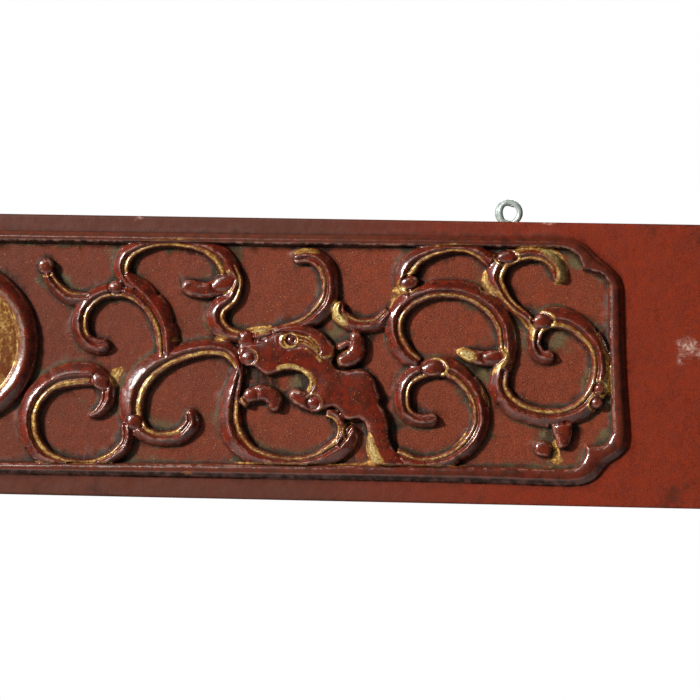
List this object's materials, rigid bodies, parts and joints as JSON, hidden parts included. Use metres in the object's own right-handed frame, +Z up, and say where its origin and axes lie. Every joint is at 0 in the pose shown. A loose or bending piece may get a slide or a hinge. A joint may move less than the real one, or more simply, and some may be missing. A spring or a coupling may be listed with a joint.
{
  "type": "carved wall panel",
  "caption": "Long lacquered wooden wall panel, carved in relief with a round medallion between mirrored scrolling dragons in a moulded frame; hangs from screw eyes.",
  "frame": {"origin": "centre of the plank's flat back, on the plane that lies against the wall", "axes": "+X to the viewer's right along the panel, +Y into the wall, +Z up; the carved face looks along -Y"},
  "size_m": [1.04, 0.025, 0.2058],
  "materials": {
    "lacquered_wood": "aged red-brown lacquer, satin, with worn gilding and grey-green grime in the hollows",
    "zinc_plated_steel": "dull zinc plating"
  },
  "bodies": {
    "root": {"carved_board": "lacquered_wood", "screw_eye_left": "zinc_plated_steel", "screw_eye_right": "zinc_plated_steel"}
  },
  "joints": []
}
